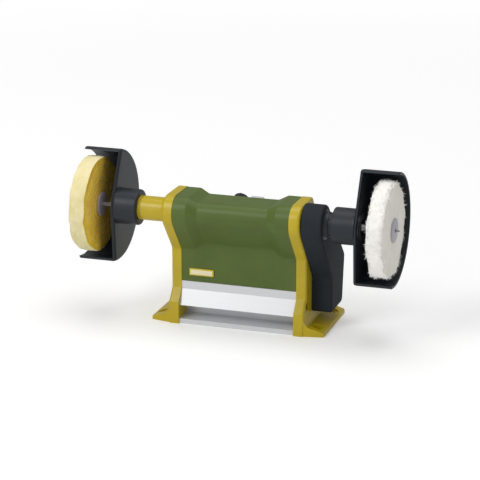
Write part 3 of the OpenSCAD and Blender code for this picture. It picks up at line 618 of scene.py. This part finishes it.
def stitch_tree():
    """Geometry Nodes: stitches of thread round a circle about the spindle axis."""
    tree = bpy.data.node_groups.new("ring_of_stitches", "GeometryNodeTree")
    tree.is_modifier = True
    face = tree.interface
    names = {}
    for name, value in (("Row Radius", 0.02), ("Stitch Pitch", 0.0042), ("Stitch Length", 0.0052),
                        ("Thread Radius", 0.00028), ("Place X", -0.166)):
        socket = face.new_socket(name, in_out="INPUT", socket_type="NodeSocketFloat")
        socket.default_value = value
        names[name] = socket.identifier
    face.new_socket("Geometry", in_out="OUTPUT", socket_type="NodeSocketGeometry")
    add, link = tree.nodes.new, tree.links.new
    given, out = add("NodeGroupInput"), add("NodeGroupOutput")
    circle = add("GeometryNodeCurvePrimitiveCircle")
    circle.inputs["Resolution"].default_value = 180
    link(given.outputs["Row Radius"], circle.inputs["Radius"])
    spaced = add("GeometryNodeResampleCurve")
    spaced.mode = "LENGTH"
    link(circle.outputs["Curve"], spaced.inputs["Curve"])
    link(given.outputs["Stitch Pitch"], spaced.inputs["Length"])
    thread = add("GeometryNodeMeshUVSphere")
    thread.inputs["Segments"].default_value = 8
    thread.inputs["Rings"].default_value = 6
    thread.inputs["Radius"].default_value = 1.0
    size = add("ShaderNodeCombineXYZ")
    half = add("ShaderNodeMath")
    half.operation = "MULTIPLY"
    half.inputs[1].default_value = 0.5
    link(given.outputs["Stitch Length"], half.inputs[0])
    link(given.outputs["Thread Radius"], size.inputs["X"])
    link(given.outputs["Thread Radius"], size.inputs["Y"])
    link(half.outputs[0], size.inputs["Z"])
    shaped = add("GeometryNodeTransform")
    link(thread.outputs["Mesh"], shaped.inputs["Geometry"])
    link(size.outputs["Vector"], shaped.inputs["Scale"])
    tangent = add("GeometryNodeInputTangent")
    align = add("FunctionNodeAlignEulerToVector")
    align.axis = "Z"
    link(tangent.outputs["Tangent"], align.inputs["Vector"])
    repeat = add("GeometryNodeInstanceOnPoints")
    link(spaced.outputs["Curve"], repeat.inputs["Points"])
    link(shaped.outputs["Geometry"], repeat.inputs["Instance"])
    link(align.outputs["Rotation"], repeat.inputs["Rotation"])
    stand = add("GeometryNodeTransform")
    stand.inputs["Rotation"].default_value = (0, math.pi / 2, 0)
    spot = add("ShaderNodeCombineXYZ")
    spot.inputs["Y"].default_value = AXIS.y
    spot.inputs["Z"].default_value = AXIS.z
    link(given.outputs["Place X"], spot.inputs["X"])
    link(repeat.outputs["Instances"], stand.inputs["Geometry"])
    link(spot.outputs["Vector"], stand.inputs["Translation"])
    real = add("GeometryNodeRealizeInstances")
    paint = add("GeometryNodeSetMaterial")
    paint.inputs["Material"].default_value = FINISH["thread"]
    link(stand.outputs["Geometry"], real.inputs["Geometry"])
    link(real.outputs["Geometry"], paint.inputs["Geometry"])
    link(paint.outputs["Geometry"], out.inputs["Geometry"])
    return tree, names


def grown(name, bed, tree, values):
    """The mesh that a Geometry Nodes tree makes on a bed from the given inputs."""
    host = new_piece(name, bed)
    made = host.modifiers.new("growth", "NODES")
    made.node_group = tree
    for identifier, value in values.items():
        made[identifier] = value
    mesh = evaluated_mesh(host)
    bpy.data.objects.remove(host)
    mesh.name = name
    return mesh


def sew_muslin():
    """Rows of stitches on both faces, which follow the cloth as it waves towards the rim."""
    tree, names = stitch_tree()
    work = bmesh.new()
    for row in STITCH_ROWS:
        for x in (BUFF_INNER_X + STITCH_DEPTH, BUFF_INNER_X + BUFF_WIDTH - STITCH_DEPTH):
            values = {names["Row Radius"]: row * MM, names["Place X"]: -x * MM}
            mesh = grown("stitch_row", bpy.data.meshes.new("stitch_row"), tree, values)
            work.from_mesh(mesh)
            bpy.data.meshes.remove(mesh)
    for vert in work.verts:
        across = 0.0 if vert.co.x > -BUFF_MIDDLE_X * MM else 1.0
        y, z = vert.co.y - AXIS.y, vert.co.z - AXIS.z
        r = math.hypot(y, z)
        vert.co.x += muslin_swing(Vector((y / r, z / r, 0)), across, r / MM) * MM
    for face in work.faces:
        face.smooth = True
    piece = new_piece("muslin_stitches", finished(work, "muslin_stitches"), FINISH["thread"])
    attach(piece, "spindle")


# Cotton buff

COTTON_RADIUS, COTTON_STEPS, COTTON_RIM_STEPS = 48.4, 480, 26
FRAY_FROM_MIDDLE = 5.2  # the coarse tufts stand on the outer edges of the rim only


def cotton_rim(around, across):
    """The radius of the rim, clumped and tufted."""
    clump = noise.noise(around * 2.9 + Vector((0, 0, across * 0.8)))
    tuft = noise.noise(around * 11 + Vector((0, 0, across * 2.6)))
    fine = abs(noise.noise(around * 34 + Vector((0, 0, across * 9))))
    return COTTON_RADIUS - 1.8 * abs(across * 2 - 1) ** 3 + 2.0 * clump + 1.1 * tuft + 0.8 * fine


def cotton_buff():
    """Loose cotton: a soft body whose rim frays into tufts."""
    radii = [ARBOR_RADIUS] + [12 + 0.9 * k for k in range(40)]
    profile = [("face", r, 0.0) for r in radii]
    profile += [("rim", COTTON_RADIUS, k / COTTON_RIM_STEPS) for k in range(COTTON_RIM_STEPS + 1)]
    profile += [("face", r, 1.0) for r in reversed(radii)]
    work = bmesh.new()
    rings = []
    for kind, r, across in profile:
        near_rim = max(0.0, (r - 34) / 16)
        ring = []
        for k in range(COTTON_STEPS):
            angle = 2 * math.pi * k / COTTON_STEPS
            around = unit_circle(angle)
            if kind == "rim":
                size = cotton_rim(around, across)
                depth = across * BUFF_WIDTH
            else:
                size = r
                sink = 0.5 * near_rim ** 2 + 0.25 * noise.noise(around * r * 0.3 + Vector((0, 0, across * 7)))
                depth = sink if across == 0 else BUFF_WIDTH - sink
            swing = noise.noise(around * 2.6 + Vector((8, 2, across * 0.4))) * near_rim * 1.3
            ring.append(work.verts.new(around_axis(BUFF_INNER_X + depth + swing, size, angle)))
        rings.append((kind, ring))
    return buff_piece("cotton_buff", work, rings, "cotton_face", "cotton", "right_cotton_buff")


def fibre_tree():
    """Geometry Nodes: short fibres scattered over a mesh, leaning at random."""
    tree = bpy.data.node_groups.new("frayed_fibres", "GeometryNodeTree")
    tree.is_modifier = True
    face = tree.interface
    face.new_socket("Geometry", in_out="INPUT", socket_type="NodeSocketGeometry")
    names = {}
    for name, value, kind in (("Fibres per Area", 500000.0, "Float"), ("Fibre Length", 0.0022, "Float"),
                              ("Fibre Radius", 0.00009, "Float"), ("Lean", 1.0, "Float"), ("Seed", 7, "Int")):
        socket = face.new_socket(name, in_out="INPUT", socket_type="NodeSocket" + kind)
        socket.default_value = value
        names[name] = socket.identifier
    face.new_socket("Geometry", in_out="OUTPUT", socket_type="NodeSocketGeometry")
    add, link = tree.nodes.new, tree.links.new
    given, out = add("NodeGroupInput"), add("NodeGroupOutput")
    scatter = add("GeometryNodeDistributePointsOnFaces")
    link(given.outputs["Geometry"], scatter.inputs["Mesh"])
    link(given.outputs["Fibres per Area"], scatter.inputs["Density"])
    link(given.outputs["Seed"], scatter.inputs["Seed"])
    fibre = add("GeometryNodeMeshCone")
    fibre.inputs["Vertices"].default_value = 3
    fibre.inputs["Side Segments"].default_value = 2
    link(given.outputs["Fibre Radius"], fibre.inputs["Radius Bottom"])
    link(given.outputs["Fibre Length"], fibre.inputs["Depth"])
    lean = add("FunctionNodeRandomValue")
    lean.data_type = "FLOAT_VECTOR"
    lean.inputs["Min"].default_value = (-0.8, -0.8, -0.8)
    lean.inputs["Max"].default_value = (0.8, 0.8, 0.8)
    link(given.outputs["Seed"], lean.inputs["Seed"])
    mixed = add("ShaderNodeVectorMath")
    mixed.operation = "MULTIPLY_ADD"
    link(lean.outputs["Value"], mixed.inputs[0])
    link(given.outputs["Lean"], mixed.inputs[1])
    link(scatter.outputs["Normal"], mixed.inputs[2])
    align = add("FunctionNodeAlignEulerToVector")
    align.axis = "Z"
    link(mixed.outputs["Vector"], align.inputs["Vector"])
    size = add("FunctionNodeRandomValue")
    size.inputs[2].default_value = 0.45
    size.inputs[3].default_value = 1.3
    link(given.outputs["Seed"], size.inputs["Seed"])
    repeat = add("GeometryNodeInstanceOnPoints")
    link(scatter.outputs["Points"], repeat.inputs["Points"])
    link(fibre.outputs["Mesh"], repeat.inputs["Instance"])
    link(align.outputs["Rotation"], repeat.inputs["Rotation"])
    link(size.outputs[1], repeat.inputs["Scale"])
    real = add("GeometryNodeRealizeInstances")
    paint = add("GeometryNodeSetMaterial")
    paint.inputs["Material"].default_value = FINISH["cotton"]
    link(repeat.outputs["Instances"], real.inputs["Geometry"])
    link(real.outputs["Geometry"], paint.inputs["Geometry"])
    link(paint.outputs["Geometry"], out.inputs["Geometry"])
    return tree, names


def on_rim(face):
    return face.material_index == 1


def on_rim_edge(face):
    return on_rim(face) and abs(face.calc_center_median().x / MM - BUFF_MIDDLE_X) > FRAY_FROM_MIDDLE


def fray(buff, keep, name, per_area, length, thick):
    """Cotton fibres or tufts on the faces of a buff that keep(face) chooses."""
    tree, names = fibre_tree()
    work = bmesh.new()
    work.from_mesh(buff.data)
    bmesh.ops.delete(work, geom=[face for face in work.faces if not keep(face)], context="FACES")
    mesh = grown(name, finished(work, "fray_bed"), tree, {
        names["Fibres per Area"]: per_area, names["Fibre Length"]: length, names["Fibre Radius"]: thick})
    piece = new_piece(name, mesh, FINISH["cotton"])
    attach(piece, "spindle")


# Studio: what the camera sees as white is lifted for camera rays only, never by more light

FLOOR_HALF = 6.0
LAMP_TARGET = Vector((0, 0, 0.1))
LAMPS = (  # name, place, size in metres, power in watts
    ("key", (-0.9, -1.4, 1.4), (0.9, 0.9), 16),
    ("low_front", (-0.75, -1.9, 0.35), (0.35, 0.5), 2),
    ("overhead", (0.1, 0.1, 1.7), (1.6, 1.2), 13),
    ("fill", (1.5, -1.0, 0.7), (1.0, 0.8), 1.5),
)


def floor_material():
    """Pale floor that keeps the shadow and grows whiter to the camera away from the machine."""
    material = bpy.data.materials.new("studio_floor")
    material.use_nodes = True
    add, link = material.node_tree.nodes.new, material.node_tree.links.new
    shader = material.node_tree.nodes["Principled BSDF"]
    shader.inputs["Base Color"].default_value = (0.92, 0.92, 0.92, 1)
    shader.inputs["Roughness"].default_value = 0.7
    shader.inputs["Specular IOR Level"].default_value = 0.2
    spot, reach, far = add("ShaderNodeTexCoord"), add("ShaderNodeVectorMath"), add("ShaderNodeMapRange")
    reach.operation = "LENGTH"
    far.inputs["From Min"].default_value = 0.3
    far.inputs["From Max"].default_value = 2.2
    far.inputs["To Min"].default_value = 0.18
    far.inputs["To Max"].default_value = 0.6
    seen, level = add("ShaderNodeLightPath"), add("ShaderNodeMath")
    level.operation = "MULTIPLY"
    lit, both = add("ShaderNodeEmission"), add("ShaderNodeAddShader")
    link(spot.outputs["Object"], reach.inputs[0])
    link(reach.outputs["Value"], far.inputs["Value"])
    link(far.outputs["Result"], level.inputs[0])
    link(seen.outputs["Is Camera Ray"], level.inputs[1])
    link(level.outputs[0], lit.inputs["Strength"])
    link(shader.outputs[0], both.inputs[0])
    link(lit.outputs[0], both.inputs[1])
    link(both.outputs[0], material.node_tree.nodes["Material Output"].inputs["Surface"])
    return material


def white_world():
    """White to the camera, and a soft even light on the object."""
    world = bpy.data.worlds.new("studio")
    bpy.context.scene.world = world
    world.use_nodes = True
    add, link = world.node_tree.nodes.new, world.node_tree.links.new
    back = world.node_tree.nodes["Background"]
    back.inputs["Color"].default_value = (1, 1, 1, 1)
    path, level = add("ShaderNodeLightPath"), add("ShaderNodeMapRange")
    level.inputs["To Min"].default_value = 0.36
    level.inputs["To Max"].default_value = 1.0
    link(path.outputs["Is Camera Ray"], level.inputs["Value"])
    link(level.outputs["Result"], back.inputs["Strength"])


def lamp(name, place, size, power):
    data = bpy.data.lights.new(name, "AREA")
    data.shape = "RECTANGLE"
    data.size, data.size_y = size
    data.energy = power
    light = bpy.data.objects.new(name, data)
    bpy.context.collection.objects.link(light)
    light.location = place
    light.rotation_euler = (LAMP_TARGET - Vector(place)).to_track_quat("-Z", "Y").to_euler()


def studio():
    s = FLOOR_HALF
    mesh = bpy.data.meshes.new("floor")
    mesh.from_pydata([(-s, -s, 0), (s, -s, 0), (s, s, 0), (-s, s, 0)], [], [(0, 1, 2, 3)])
    new_piece("floor", mesh, floor_material())
    white_world()
    for row in LAMPS:
        lamp(*row)


place_camera()
bpy.context.scene.view_settings.view_transform = "Standard"
studio()
finish_cad_nodes()
for shell_row in SHELL_PIECES:
    dressed(*shell_row)
blank_plate()
controls()
threaded_nose(-1)
threaded_nose(1)
muslin_buff()
sew_muslin()
cotton = cotton_buff()
fray(cotton, on_rim, "cotton_fray", 500000.0, 0.0026, 0.00007)
fray(cotton, on_rim_edge, "cotton_tufts", 360000.0, 0.0034, 0.00038)
